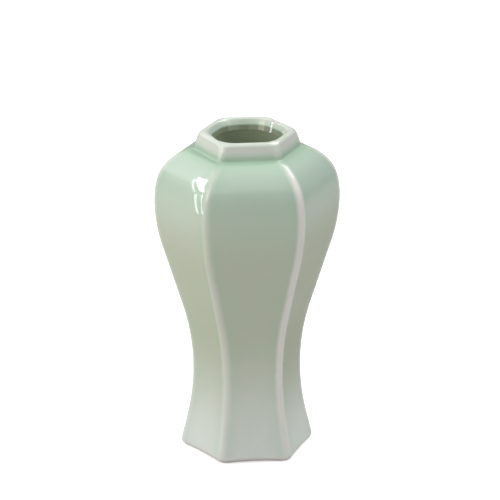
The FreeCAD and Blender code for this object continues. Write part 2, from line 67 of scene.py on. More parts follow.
class Slot(Enum):
    """The record's material slots."""

    GLAZE = "celadon_glaze"
    CLAY = "porcelain_clay"


def add_node(tree: NodeTree, kind: str, inputs: dict[Any, Any] | None = None, **settings: Any) -> Node:
    """Add one node, with its settings, its input values and its links.

    Args:
        tree: the node tree.
        kind: the node's type.
        inputs: what goes into each socket, by name or number: a value, a node or a node's output.
        settings: the node's own properties.

    Returns:
        The new node.
    """
    node = tree.nodes.new(kind)
    for name, value in settings.items():
        setattr(node, name, value)
    for key, value in (inputs or {}).items():
        if isinstance(value, Node):
            value = value.outputs[0]
        if isinstance(value, NodeSocket):
            tree.links.new(value, node.inputs[key])
        else:
            node.inputs[key].default_value = value
    return node


def linear(code: str) -> tuple[float, float, float, float]:
    """Turn an sRGB hex colour into the linear red, green, blue and alpha that a shader takes."""
    parts = [int(code[i:i + 2], 16) / 255 for i in (1, 3, 5)]
    red, green, blue = (p / 12.92 if p <= 0.04045 else ((p + 0.055) / 1.055) ** 2.4 for p in parts)
    return red, green, blue, 1.0


def calc(tree: NodeTree, operation: str, *values: Any) -> Node:
    """Add a node that does one calculation, such as MULTIPLY, with the values in their order."""
    return add_node(tree, "ShaderNodeMath", dict(enumerate(values)), operation=operation)


def vector(tree: NodeTree, operation: str, *values: Any) -> Node:
    """Add a node that calculates with vectors, as calc does with numbers."""
    return add_node(tree, "ShaderNodeVectorMath", dict(enumerate(values)), operation=operation)


def grade(tree: NodeTree, value: Any, start: Any, end: Any, least: Any = 0.0, most: Any = 1.0,
          smooth: bool = False) -> Node:
    """Add a node that turns a value's way from start to end into one from least to most.

    Args:
        tree: the node tree.
        value: the value that it reads.
        start: the value that gives the least.
        end: the value that gives the most.
        least: what it gives at the start.
        most: what it gives at the end.
        smooth: whether both ends are eased.

    Returns:
        The new node.
    """
    return add_node(tree, "ShaderNodeMapRange", {
        "Value": value, "From Min": start, "From Max": end, "To Min": least, "To Max": most},
        interpolation_type="SMOOTHSTEP" if smooth else "LINEAR")


def mix(tree: NodeTree, share: Any, first: Any, last: Any) -> NodeSocket:
    """Mix two colours by a share of the last one, from 0 to 1, and return the mixed one's socket."""
    return add_node(tree, "ShaderNodeMix", {0: share, 6: first, 7: last}, data_type="RGBA").outputs[2]


def noise(tree: NodeTree, vector: Any, size: float, detail: float, roughness: float = 0.5) -> Node:
    """Add a noise texture whose lumps have this size, in metres. Detail counts its finer octaves."""
    return add_node(tree, "ShaderNodeTexNoise", {
        "Vector": vector, "Scale": 1 / size, "Detail": detail, "Roughness": roughness})


def put(name: str, data: Any) -> Piece:
    """Put an object with this data in the scene."""
    thing = bpy.data.objects.new(name, data)
    bpy.context.scene.collection.objects.link(thing)
    return thing


class Finish:
    """A finish, as a material with nodes of its own."""

    def shade(self, tree: NodeTree) -> Node:
        """Add the finish's nodes to its tree and return its shader."""
        raise NotImplementedError

    def make(self, name: str) -> Material:
        """Build the material under this name."""
        material = bpy.data.materials.new(name)
        material.use_nodes = True
        tree = material.node_tree
        tree.nodes.clear()
        add_node(tree, "ShaderNodeOutputMaterial", {"Surface": self.shade(tree)})
        return material


def eased(share: float) -> float:
    """Hold a share between 0 and 1 and ease it at both ends."""
    share = min(1.0, max(0.0, share))
    return share * share * (3 - 2 * share)


@dataclass
class Outline:
    """An outline beside the axis, as points with what the form needs to know at each.

    Attributes:
        points: distance from the axis and height of each point, in metres.
        corners: rounding of the hexagon's corners at each point, in metres.
        pools: how thick the glaze lies there, from 0 for thin to 1 for pooled, and up to 2 where
        it passes into the lining in the throat, whose colour is darkened there as painted shade.
    """

    points: list[Point] = field(default_factory=list)
    corners: list[float] = field(default_factory=list)
    pools: list[float] = field(default_factory=list)

    def add(self, point: Point, corner: float = 0.0, pool: float = EVEN) -> None:
        """Add one point, unless it repeats the last."""
        if self.points and math.dist(self.points[-1], point) < 0.01 * MM:
            return
        self.points.append(point)
        self.corners.append(corner)
        self.pools.append(pool)

    def arc(self, centre: Point, radius: float, first: float, last: float, step: float,
            corner: float = 0.0) -> None:
        """Add an arc of a circle.

        Args:
            centre: the circle's centre.
            radius: its radius.
            first: the angle where the arc starts, in degrees from level and outward.
            last: the angle where it ends.
            step: longest distance between two points.
            corner: rounding of the corners along it.
        """
        turn = math.radians(last - first)
        count = max(2, math.ceil(abs(turn) * radius / step))
        for number in range(count + 1):
            at = math.radians(first) + turn * number / count
            self.add((centre[0] + radius * math.cos(at), centre[1] + radius * math.sin(at)), corner)

    def line(self, first: Point, last: Point, step: float, corner: float = 0.0,
             pool: float = EVEN) -> None:
        """Add a straight line, in steps no longer than the one given."""
        count = max(1, math.ceil(math.dist(first, last) / step))
        for number in range(count + 1):
            share = number / count
            place = tuple(a + (b - a) * share for a, b in zip(first, last))
            self.add(place, corner, pool)

    def extend(self, other: Outline, backwards: bool = False) -> None:
        """Add all points of another outline, forwards or backwards."""
        rows = list(zip(other.points, other.corners, other.pools))
        for point, corner, pool in reversed(rows) if backwards else rows:
            self.add(point, corner, pool)


@dataclass
class Profile:
    """The vase's profile, in metres and degrees.

    The sizes down to floor_thickness drive the solids too. An apothem is the distance from the
    axis to the middle of a side. The others belong to the shown vase alone.

    Attributes:
        foot_round: rounding of the foot's edge.
        glaze_stops: where on that rounding the glaze ends, from level.
        bare_from: where on it the clay has come out to the full surface, from level.
        ridge_round: rounding of the ridges.
        foot_corner: their rounding at the ground.
        foot_corner_rise: height where that rounding has passed into the other.
        tuck: how far the shoulder's curve runs on under the collar.
    """

    waist_apothem: float = 28.85 * MM
    waist_height: float = 50.3 * MM
    flare_height: float = 17 * MM
    foot_lean: float = 12.4
    belly_apothem: float = 48.6 * MM
    belly_height: float = 158.3 * MM
    waist_bend_share: float = 0.508
    belly_bend_share: float = 0.36
    brow_bend: float = 56 * MM
    brow_turn: float = 12
    shoulder_bend: float = 26 * MM
    crown_turn: float = 82
    ceiling_turn: float = 76
    wall: float = 4 * MM
    glaze: float = 0.6 * MM
    liner: float = 0.4 * MM
    collar_apothem: float = 28.2 * MM
    collar_height: float = 10.23 * MM
    collar_lean: float = 14
    funnel_depth: float = 5 * MM
    throat_apothem: float = 19 * MM
    spigot_wall: float = 4 * MM
    coat_overlap: float = 1.5 * MM
    floor_rise: float = 3 * MM
    floor_thickness: float = 5 * MM
    foot_round: float = 3.4 * MM
    glaze_stops: float = -34
    bare_from: float = -48
    ridge_round: float = 3.4 * MM
    foot_corner: float = 6.2 * MM
    foot_corner_rise: float = 22 * MM
    tuck: float = 5

    @property
    def hollow(self) -> float:
        """How far inside the glazed surface the wall ends."""
        return self.glaze + self.wall

    @property
    def bore(self) -> float:
        """Distance from the axis to the clay in the throat."""
        return self.throat_apothem + self.liner

    @property
    def seam(self) -> Point:
        """Where the collar's face would meet the shoulder if no glaze filled the corner."""
        return self.collar_apothem, self.collar_foot

    @property
    def under_collar(self) -> float:
        """Where the shoulder's outline ends, tucked under the collar, in degrees from level."""
        return self.collar_turn - self.tuck

    @property
    def shoulder_centre(self) -> Point:
        """The point that the shoulder curves about."""
        step, turn = self.brow_bend - self.shoulder_bend, math.radians(self.brow_turn)
        out = self.belly_apothem - self.brow_bend + step * math.cos(turn)
        return out, self.belly_height + step * math.sin(turn)

    @property
    def collar_turn(self) -> float:
        """Where on the shoulder's curve the collar stands, in degrees from level."""
        run = self.collar_apothem - self.shoulder_centre[0]
        return math.degrees(math.acos(run / self.shoulder_bend))

    @property
    def collar_foot(self) -> float:
        """Height at which the collar meets the shoulder."""
        return self.shoulder_point(0.0, self.collar_turn)[1]

    @property
    def rim(self) -> float:
        """Height of the rim."""
        return self.collar_foot + self.collar_height

    @property
    def coat_end(self) -> float:
        """Height at which the outer coat ends in the throat and the inner one begins."""
        return self.rim - self.funnel_depth - self.coat_overlap

    @property
    def floor_top(self) -> float:
        """Height of the floor slab's upper face."""
        return self.floor_rise + self.floor_thickness

    def corners(self, line: Outline, inset: float) -> list[float]:
        """Rounding of the ridges along an outline of the wall: they are rounder at the foot."""
        wider = self.foot_corner - self.ridge_round
        return [self.ridge_round - inset + wider * max(0.0, 1 - up / self.foot_corner_rise)
                for _, up in line.points]

    def shoulder_point(self, inset: float, turn: float) -> Point:
        """A point on the shoulder's curve, set in by a thickness, at an angle from level."""
        out, up = self.shoulder_centre
        radius, at = self.shoulder_bend - inset, math.radians(turn)
        return out + radius * math.cos(at), up + radius * math.sin(at)

    def wall_line(self, inset: float, bottom: float, top_turn: float, step: float,
                  corner: float = 0.0) -> Outline:
        """The wall's outline from a height near the foot up to the shoulder, set in.

        Args:
            inset: how far inside the glazed surface it runs.
            bottom: where it starts.
            top_turn: where on the shoulder's curve it ends, in degrees from level.
            step: longest distance between two points.
            corner: rounding of the ridges.

        Returns:
            The outline, from the bottom up.
        """
        swell = self.belly_apothem - self.waist_apothem
        climb = self.belly_height - self.waist_height
        both = (swell ** 2 + climb ** 2) / (2 * swell)
        waist_bend, belly_bend = both * self.waist_bend_share, both * self.belly_bend_share
        foot_bend = (self.waist_height - self.flare_height) / math.sin(math.radians(self.foot_lean))
        apart = waist_bend + belly_bend - swell
        flank = math.degrees(
            math.asin((waist_bend + belly_bend) / math.hypot(climb, apart)) - math.atan2(apart, climb))
        lean = math.radians(self.foot_lean)
        foot_centre = (self.waist_apothem + foot_bend, self.waist_height)
        flare_top = (foot_centre[0] - (foot_bend + inset) * math.cos(lean),
                     foot_centre[1] - (foot_bend + inset) * math.sin(lean))
        flare_foot = (flare_top[0] + (flare_top[1] - bottom) * math.tan(lean), bottom)
        line = Outline()
        line.line(flare_foot, flare_top, step, corner)
        for centre, radius, first, last in (
                (foot_centre, foot_bend + inset, 180 + self.foot_lean, 180),
                ((self.waist_apothem + waist_bend, self.waist_height), waist_bend + inset, 180,
                 180 - flank),
                ((self.belly_apothem - belly_bend, self.belly_height), belly_bend - inset, -flank, 0),
                ((self.belly_apothem - self.brow_bend, self.belly_height), self.brow_bend - inset, 0,
                 self.brow_turn),
                (self.shoulder_centre, self.shoulder_bend - inset, self.brow_turn, top_turn)):
            line.arc(centre, radius, first, last, step, corner)
        return line

    def foot_line(self, first: float, step: float, bare: bool = False) -> Outline:
        """The rounded foot, up to where the wall rises straight.

        Args:
            first: where on the rounding it starts, in degrees from level.
            step: longest distance between two points.
            bare: the clay, which the glaze covers thinner towards the foot, and not the glaze.

        Returns:
            The outline, from the bottom up.
        """
        lean = math.radians(self.foot_lean)
        start = self.wall_line(0.0, 0.0, self.crown_turn, step).points[0]
        centre = (start[0] - self.foot_round * (1 + math.sin(lean)) / math.cos(lean), self.foot_round)
        count = max(4, math.ceil(math.radians(self.foot_lean - first) * self.foot_round / step))
        fade = self.foot_lean - self.bare_from
        line = Outline()
        for number in range(count + 1):
            turn = first + (self.foot_lean - first) * number / count
            cover = min(1.0, max(0.0, (turn - self.bare_from) / fade)) * self.glaze if bare else 0.0
            reach, at = self.foot_round - cover, math.radians(turn)
            line.add((centre[0] + reach * math.cos(at), centre[1] + reach * math.sin(at)))
        return line


def ramp(stops: Stops, share: float) -> float:
    """Read a value off stops, which are shares in rising order with their values."""
    for (low, first), (high, last) in zip(stops, stops[1:]):
        if share <= high:
            return first + (last - first) * max(0.0, share - low) / (high - low)
    return stops[-1][1]


def fillet(line: Outline, before: Point, knee: Point, after: Point, radius: float,
           step: float) -> None:
    """Add the rounding of a knee between two straight runs to an outline.

    Args:
        line: the outline that gets it.
        before: a point on the run that leads to the knee.
        knee: where the two runs would meet.
        after: a point on the run that leaves it.
        radius: the rounding's radius.
        step: longest distance between two points.
    """
    arrive = (Vector(knee) - Vector(before)).normalized()
    leave = (Vector(after) - Vector(knee)).normalized()
    turn = math.atan2(arrive.x * leave.y - arrive.y * leave.x, arrive.dot(leave))
    setback = radius * math.tan(abs(turn) / 2)
    side = math.copysign(1.0, turn)
    start = Vector(knee) - arrive * setback
    centre = start + Vector((-arrive.y, arrive.x)) * radius * side
    first = math.degrees(math.atan2(start.y - centre.y, start.x - centre.x))
    line.arc(tuple(centre), radius, first, first + math.degrees(turn), step)


@dataclass(frozen=True)
class HandMade:
    """What the maker's hands leave on the form, in metres and degrees.

    The foot is turned against the shoulder. The front left ridge is set off along its panel, by an
    amount each for the collar, the shoulder and the ground, and worn soft on the shoulder. The
    foot's right corners are pulled forward, most at pull_at, counted from the right, and its edge
    is arched, most on the front right. The surface strays from true, and waver_inset is taken from
    that noise, so that it only strays inward. A pair holds the two heights between which its
    effect grows or fades.
    """

    foot_turn: float = 3.4
    turn_from: float = 118 * MM
    turn_to: float = 8 * MM
    collar_slide: float = 2.4 * MM
    collar_rise: Point = (187 * MM, 190 * MM)
    shoulder_slide: float = 2.0 * MM
    shoulder_rise: Point = (60 * MM, 170 * MM)
    foot_slide: float = 0.6 * MM
    foot_slide_from: float = 70 * MM
    foot_pull: float = 2.2 * MM
    pull_from: float = 75 * MM
    pull_at: float = -25.0
    foot_arch: float = 1.0 * MM
    arch_share: float = 0.7
    arch_from: float = 16 * MM
    softening: float = 1.0 * MM
    worn_rise: Point = (122 * MM, 152 * MM)
    worn_fall: Point = (180 * MM, 190 * MM)
    worn_width: float = 20 * MM
    waver: float = 0.14 * MM
    waver_inset: float = 0.74
    waver_from: float = 12 * MM
    waver_width: float = 34 * MM
    seed: float = 7.0


class SixSidedForm:
    """Carries an outline round a hexagon with rounded corners, by a Geometry Nodes tree.

    Sides and ridges are counted anticlockwise from the right, seen from above. Points nearer to each
    other than JOIN become one, and whole numbers that differ by less than SAME are the same.
    """

    INPUTS = {"Rows": "NodeSocketInt", "Columns per side": "NodeSocketInt",
              "Corner columns": "NodeSocketInt", "Finish": "NodeSocketMaterial"}
    JOIN = 1e-6
    FRONT_LEFT_RIDGE = 4.0
    FRONT_RIGHT_SIDE = 5.0
    SAME = 0.1

    def __init__(self, hands: HandMade) -> None:
        """Build the tree once, for all pieces."""
        self.hands = hands
        self.tree = bpy.data.node_groups.new("six_sided_form", "GeometryNodeTree")
        self._sockets: dict[str, str] = {}
        self._build()

    def _build(self) -> None:
        """Build the nodes: rows and columns, the hexagon, the foot, the waver and the finish."""
        tree, hands = self.tree, self.hands
        tree.interface.new_socket("Geometry", in_out="INPUT", socket_type="NodeSocketGeometry")
        for name, kind in self.INPUTS.items():
            socket = tree.interface.new_socket(name, in_out="INPUT", socket_type=kind)
            self._sockets[name] = socket.identifier
        tree.interface.new_socket("Geometry", in_out="OUTPUT", socket_type="NodeSocketGeometry")
        given = add_node(tree, "NodeGroupInput").outputs
        per_side, per_corner = given["Columns per side"], given["Corner columns"]

        columns = calc(tree, "MULTIPLY", per_side, SIDES)
        columns = calc(tree, "ADD", columns, 1)
        grid = add_node(tree, "GeometryNodeMeshGrid", {
            "Vertices X": given["Rows"], "Vertices Y": columns, "Size X": 1.0, "Size Y": 1.0})
        index = add_node(tree, "GeometryNodeInputIndex")
        row = calc(tree, "FLOOR", calc(tree, "DIVIDE", index, columns))
        column = calc(tree, "MODULO", index, columns)
        side = calc(tree, "FLOOR", calc(tree, "DIVIDE", column, per_side))
        along = calc(tree, "SUBTRACT", column, calc(tree, "MULTIPLY", side, per_side))
        bend = grade(tree, along, 0.0, per_corner)
        run = grade(tree, along, per_corner, per_side)

        # what the outline says at this row
        said: dict[str, Node] = {}
        for name in ("corner", "slide", "pool"):
            value = add_node(tree, "GeometryNodeInputNamedAttribute", {"Name": name}, data_type="FLOAT")
            said[name] = add_node(tree, "GeometryNodeSampleIndex", {
                "Geometry": given["Geometry"], "Value": value, "Index": row}, data_type="FLOAT")
        place = add_node(tree, "GeometryNodeSampleIndex", {
            "Geometry": given["Geometry"], "Value": add_node(tree, "GeometryNodeInputPosition"),
            "Index": row}, data_type="FLOAT_VECTOR")
        parts = add_node(tree, "ShaderNodeSeparateXYZ", {0: place}).outputs
        up = parts["Z"]

        ridges = self._ridges(side, parts["X"], up, said)
        from_middle = calc(tree, "ABSOLUTE", calc(tree, "SUBTRACT", run, 0.5))
        from_ridge = self._from_ridge(bend, from_middle, ridges, said["corner"])
        worn = calc(tree, "MULTIPLY", self._worn(side, run, up, from_ridge), hands.softening)
        flat = self._section(bend, run, ridges, calc(tree, "SUBTRACT", said["corner"], worn))
        formed = vector(tree, "ADD", flat, self._height(side, from_middle, up))

        # the foot is turned a little against the shoulder
        turned = grade(tree, up, hands.turn_from, hands.turn_to, 0.0, math.radians(hands.foot_turn),
                       smooth=True)
        formed = add_node(tree, "ShaderNodeVectorRotate", {
            "Vector": formed, "Angle": turned}, rotation_type="Z_AXIS")
        kept = add_node(tree, "GeometryNodeSetPosition", {
            "Geometry": grid.outputs["Mesh"], "Position": formed})

        # what the glaze does along this row and near a ridge is kept for the finish
        for label, value in (("from_ridge", from_ridge), ("pool", said["pool"])):
            kept = add_node(tree, "GeometryNodeStoreNamedAttribute", {
                "Geometry": kept, "Name": label, "Value": value}, data_type="FLOAT", domain="POINT")
        closed = add_node(tree, "GeometryNodeMergeByDistance", {"Geometry": kept, "Distance": self.JOIN})
        closed = add_node(tree, "GeometryNodeFlipFaces", {"Mesh": closed})
        wavered = add_node(tree, "GeometryNodeSetPosition", {
            "Geometry": closed, "Offset": self._waver()})
        smooth = add_node(tree, "GeometryNodeSetShadeSmooth", {"Geometry": wavered})
        real = add_node(tree, "GeometryNodeRealizeInstances", {"Geometry": smooth})
        dressed = add_node(tree, "GeometryNodeSetMaterial", {
            "Geometry": real, "Material": given["Finish"]})
        add_node(tree, "NodeGroupOutput", {0: dressed})

    def _ridges(self, side: Any, out: Any, up: Any, said: dict[str, Node]) -> list[Node]:
        """The centres of three ridges' roundings: behind this column, before it and after it."""
        tree, hands = self.tree, self.hands
        reach = calc(tree, "DIVIDE", out, math.cos(HALF_SIDE))
        cut_back = calc(tree, "MULTIPLY", said["corner"], 1 / math.cos(HALF_SIDE))
        arm = add_node(tree, "ShaderNodeCombineXYZ", {
            "X": calc(tree, "SUBTRACT", reach, cut_back)})
        pulled = grade(tree, up, hands.pull_from, 0.0, most=hands.foot_pull, smooth=True)
        ridges = []
        for offset in (-1, 0, 1):
            number = calc(tree, "ADD", side, offset)
            angle = calc(tree, "MULTIPLY", number, 2 * HALF_SIDE)
            ridge = add_node(tree, "ShaderNodeVectorRotate", {
                "Vector": arm, "Angle": angle}, rotation_type="Z_AXIS")
            front_left = calc(tree, "COMPARE", number, self.FRONT_LEFT_RIDGE, self.SAME)
            slid = calc(tree, "MULTIPLY", said["slide"], front_left)
            to_right = calc(tree, "SUBTRACT", angle, math.radians(hands.pull_at))
            to_right = calc(tree, "MAXIMUM", calc(tree, "COSINE", to_right), 0.0)
            forward = calc(tree, "MULTIPLY", to_right, pulled)
            shift = add_node(tree, "ShaderNodeCombineXYZ", {
                "X": calc(tree, "MULTIPLY", slid, -1.0),
                "Y": calc(tree, "MULTIPLY", forward, -1.0)})
            ridges.append(vector(tree, "ADD", ridge, shift))
        return ridges

    def _section(self, bend: Any, run: Any, ridges: list[Node], rounding: Any) -> Node:
        """A point of the hexagon whose corners have this rounding, without its height."""
        tree, facing = self.tree, []
        for start, end in zip(ridges, ridges[1:]):
            out = vector(tree, "CROSS_PRODUCT", vector(tree, "SUBTRACT", end, start), (0, 0, 1))
            facing.append(vector(tree, "NORMALIZE", out))
        normal, middle = (
            add_node(tree, "ShaderNodeMix", {0: share, 4: first, 5: last}, data_type="VECTOR").outputs[1]
            for share, first, last in ((bend, *facing), (run, *ridges[1:])))
        outward = add_node(tree, "ShaderNodeVectorMath", {
            0: vector(tree, "NORMALIZE", normal), "Scale": rounding}, operation="SCALE")
        return vector(tree, "ADD", middle, outward)

    def _from_ridge(self, bend: Any, from_middle: Any, ridges: list[Node], corner: Any) -> Node:
        """How far this column is from the nearest ridge, along the surface."""
        tree = self.tree
        length = vector(tree, "DISTANCE", ridges[2], ridges[1]).outputs["Value"]
        flat = calc(tree, "SUBTRACT", 0.5, from_middle)
        flat = calc(tree, "MULTIPLY", flat, length)
        curved = calc(tree, "ABSOLUTE", calc(tree, "SUBTRACT", bend, 0.5))
        arc = calc(tree, "MULTIPLY", corner, 2 * HALF_SIDE)
        return calc(tree, "MULTIPLY_ADD", curved, arc, flat)

    def _worn(self, side: Any, run: Any, up: Any, from_ridge: Any) -> Node:
        """How far the front left ridge is worn soft on the shoulder here, from 0 to 1."""
        tree, hands = self.tree, self.hands
        nearest = calc(tree, "ADD", side, calc(tree, "GREATER_THAN", run, 0.5))
        worn = calc(tree, "COMPARE", nearest, self.FRONT_LEFT_RIDGE, self.SAME)
        near = (from_ridge, hands.worn_width, 0.0)
        for value, start, end in ((up, *hands.worn_rise), (up, *reversed(hands.worn_fall)), near, near):
            worn = calc(tree, "MULTIPLY", worn, grade(tree, value, start, end))
        return worn

    def _height(self, side: Any, from_middle: Any, up: Any) -> Node:
        """The height of this point: the foot's edge is arched between its corners."""
        tree, hands = self.tree, self.hands
        arch = calc(tree, "MULTIPLY", from_middle, from_middle)
        arch = calc(tree, "MULTIPLY_ADD", arch, -4.0, 1.0)
        lift = grade(tree, up, hands.arch_from, 0.0, most=hands.foot_arch)
        most = calc(tree, "COMPARE", side, self.FRONT_RIGHT_SIDE, self.SAME)
        most = calc(tree, "MULTIPLY_ADD", most, 1.0 - hands.arch_share, hands.arch_share)
        lift = calc(tree, "MULTIPLY", lift, most)
        return add_node(tree, "ShaderNodeCombineXYZ", {
            "Z": calc(tree, "MULTIPLY_ADD", arch, lift, up)})

    def _waver(self) -> Node:
        """How far this point strays, level and only inward, and not where it stands."""
        tree, hands = self.tree, self.hands
        stray = add_node(tree, "ShaderNodeTexNoise", {
            "W": hands.seed, "Scale": 1 / hands.waver_width, "Detail": 1.0}, noise_dimensions="4D")
        stray = calc(tree, "SUBTRACT", stray, hands.waver_inset)
        at = add_node(tree, "ShaderNodeSeparateXYZ", {0: add_node(tree, "GeometryNodeInputPosition")})
        full = grade(tree, at.outputs["Z"], 0.0, hands.waver_from, most=2 * hands.waver)
        push = add_node(tree, "ShaderNodeVectorMath", {
            0: add_node(tree, "GeometryNodeInputNormal"),
            "Scale": calc(tree, "MULTIPLY", stray, full)}, operation="SCALE")
        return vector(tree, "MULTIPLY", push, (1, 1, 0))

    def _slide(self, up: float) -> float:
        """How far the front left ridge is set off at a height, in metres."""
        hands = self.hands
        low, high = hands.shoulder_rise
        slide = hands.shoulder_slide * eased((up - low) / (high - low))
        slide += hands.foot_slide * eased(1 - up / hands.foot_slide_from)
        low, high = hands.collar_rise
        if up > low:
            slide += (hands.collar_slide - slide) * min(1.0, (up - low) / (high - low))
        return slide

    def make(self, name: str, outline: Outline, finish: Material, closed: bool = True,
             flat_columns: int = 14, corner_columns: int = 8) -> Piece:
        """Make one piece from its outline.

        Args:
            name: the piece's name.
            outline: its outline, anticlockwise with the axis on the left.
            finish: its material.
            closed: whether the outline runs back to its first point, and doesn't end at the axis.
            flat_columns: divisions of the flat of each side.
            corner_columns: divisions of each rounded corner.

        Returns:
            The piece, as a plain mesh with its place in its mesh.
        """
        rows = list(zip(outline.points, outline.corners, outline.pools))
        if closed:
            rows.append(rows[0])
        places, corners, pools = zip(*rows)
        lines = bpy.data.meshes.new(name + "_outline")
        lines.from_pydata([(out, 0.0, up) for out, up in places],
                          [(i, i + 1) for i in range(len(rows) - 1)], [])
        slides = [self._slide(up) if out > 0 else 0.0 for out, up in places]
        for label, values in (("corner", corners), ("slide", slides), ("pool", pools)):
            lines.attributes.new(label, "FLOAT", "POINT").data.foreach_set("value", values)
        carrier = put(name + "_outline", lines)
        modifier = carrier.modifiers.new("form", "NODES")
        modifier.node_group = self.tree
        for label, value in zip(self.INPUTS, (
                len(rows), flat_columns + corner_columns, corner_columns, finish)):
            modifier[self._sockets[label]] = value
        graph = bpy.context.evaluated_depsgraph_get()
        mesh = bpy.data.meshes.new_from_object(carrier.evaluated_get(graph))
        bpy.data.objects.remove(carrier)
        mesh.name = name
        LOG.info("%s: %d faces", name, len(mesh.polygons))
        return put(name, mesh)


@dataclass(frozen=True)
class CeladonGlaze(Finish):
    """Celadon, a glossy grey-green glaze coloured by a little iron, fired on in one thick coat.

    It shows the pale clay through where it has run thin over ridges and rims, and deepens where it
    has pooled. It gives a glassy sheen over a slightly clouded depth.

    The colours are those of the even coat, of the greener one on the shoulder, of painted shade on
    the side panels, darker and warmer at mid-height and most where they face right, of thin places,
    of pools, of the paler, greyer one near the foot and of the dark olive one where the coat meets
    the lining in the throat, which is the lining's glaze darkened as painted shade. Roughness is
    that of the cloudy body, and gloss that of the glassy skin. A pair named rise or fall holds the
    heights between which a colour comes or goes. The thin band on a ridge has a width, a bare middle
    and edges that wander. It is paler on the right than on the left, the extra on the right being a
    painted highlight, and least pale by the ground and the collar, where a cover holds that least
    share and the heights that it lies between. All lengths are in metres.
    """

    body: str = "#b3b9aa"
    shoulder: str = "#afc1b5"
    # painted shade: darker, warmer colour of the side panels at mid-height, most on those facing right
    flank: str = "#888f6d"
    ridge: str = "#e2dcdc"
    pool: str = "#97b7a0"
    foot: str = "#d0d5d4"
    # the lining's olive glaze, darkened as painted shade where the coat enters the throat
    lining: str = "#6c765f"
    roughness: float = 0.36
    gloss: float = 0.03
    foot_rise: Point = (0.0, 85 * MM)
    shoulder_rise: Point = (128 * MM, 182 * MM)
    side_shade_rise: Point = (6 * MM, 86 * MM)
    side_shade_fall: Point = (122 * MM, 168 * MM)
    left_side_shade: float = 0.4
    ridge_width: float = 4.4 * MM
    bare_width: float = 0.8 * MM
    ridge_wander: float = 0.6 * MM
    wander_size: float = 7 * MM
    # thin glaze on the ridges, paler to the right, where the extra is a painted highlight
    thin_and_highlight: Point = (0.32, 0.95)
    thin_and_highlight_span: Point = (-26 * MM, 18 * MM)
    foot_cover: tuple[float, float, float] = (0.6, 0.0, 60 * MM)
    collar_cover: tuple[float, float, float] = (0.3, 191 * MM, 179 * MM)
    cloud_size: float = 16 * MM
    ripple_size: float = 9 * MM
    ripple_depth: float = 0.012 * MM

    def _side_shade(self, tree: NodeTree, up: Any) -> Node:
        """How much painted shade the side panels get at mid-height, most where they face right."""
        facing = add_node(tree, "ShaderNodeSeparateXYZ", {
            0: add_node(tree, "ShaderNodeNewGeometry").outputs["Normal"]}).outputs["X"]
        right = grade(tree, facing, 0.35, 0.8)
        left = grade(tree, facing, -0.35, -0.8, most=self.left_side_shade)
        # hollow holds the share of painted shade: most where the surface faces right, less where it faces
        # left
        hollow = calc(tree, "ADD", right, left)
        for start, end in (self.side_shade_rise, reversed(self.side_shade_fall)):
            hollow = calc(tree, "MULTIPLY", hollow, grade(tree, up, start, end, smooth=True))
        return hollow

    def _thin(self, tree: NodeTree, place: Any, gap: Any) -> Node:
        """How thin the coat has run on a ridge, paler on the right, where a highlight is painted in."""
        thin = grade(tree, gap, self.ridge_width, self.bare_width, smooth=True)
        # the extra paleness towards the right is a painted highlight
        across = grade(tree, place["X"], *self.thin_and_highlight_span, *self.thin_and_highlight)
        thin = calc(tree, "MULTIPLY", thin, across)
        for least, start, end in (self.foot_cover, self.collar_cover):
            thin = calc(tree, "MULTIPLY", thin, grade(tree, place["Z"], start, end, least))
        return thin

    def shade(self, tree: NodeTree) -> Node:
        """Add the nodes of the coat's colour, its ripples and its glassy skin."""
        coordinates = add_node(tree, "ShaderNodeTexCoord").outputs["Object"]
        place = add_node(tree, "ShaderNodeSeparateXYZ", {0: coordinates}).outputs
        from_ridge, pool = (add_node(tree, "ShaderNodeAttribute", attribute_name=label).outputs["Fac"]
                            for label in ("from_ridge", "pool"))
        cloud = noise(tree, coordinates, self.cloud_size, 3.0, 0.55)
        wander = grade(tree, noise(tree, coordinates, self.wander_size, 2.0), 0.0, 1.0,
                       -self.ridge_wander, self.ridge_wander)
        gap = calc(tree, "ADD", from_ridge, wander)

        # each layer of colour covers the ones before it by its share
        colour: Any = linear(self.body)
        for share, layer in (
                (grade(tree, place["Z"], *reversed(self.foot_rise), smooth=True), self.foot),
                (grade(tree, place["Z"], *self.shoulder_rise, smooth=True), self.shoulder),
                # painted shade on the side panels, darkest where they face right
                (self._side_shade(tree, place["Z"]), self.flank),
                # clouds of thicker glaze, and a slightly deeper band beside each ridge
                (grade(tree, cloud, 0.35, 0.75, most=0.1), self.pool),
                (grade(tree, gap, 2.8 * self.ridge_width, 0.9 * self.ridge_width, most=0.14, smooth=True),
                 self.pool),
                # thin glaze on the ridges, with a painted highlight on those to the right
                (self._thin(tree, place, gap), self.ridge),
                # pools, the way into the lining, darkened as painted shade, and thin places along the
                # outline
                (grade(tree, pool, EVEN, 1.0, most=0.9), self.pool),
                (grade(tree, pool, 1.0, 2.0), self.lining),
                (grade(tree, pool, EVEN, 0.0, most=0.9), self.ridge)):
            colour = mix(tree, share, colour, linear(layer))

        bump = add_node(tree, "ShaderNodeBump", {
            "Height": noise(tree, coordinates, self.ripple_size, 2.0, 0.4), "Strength": 1.0,
            "Distance": self.ripple_depth})
        return add_node(tree, "ShaderNodeBsdfPrincipled", {
            "Base Color": colour, "Roughness": self.roughness, "IOR": 1.5, "Specular IOR Level": 0.32,
            "Coat Weight": 0.8, "Coat Roughness": self.gloss, "Coat IOR": 1.5, "Normal": bump,
            "Coat Normal": bump, "Subsurface Weight": 0.12, "Subsurface Radius": (0.6, 1.0, 0.7),
            "Subsurface Scale": 1.2 * MM})


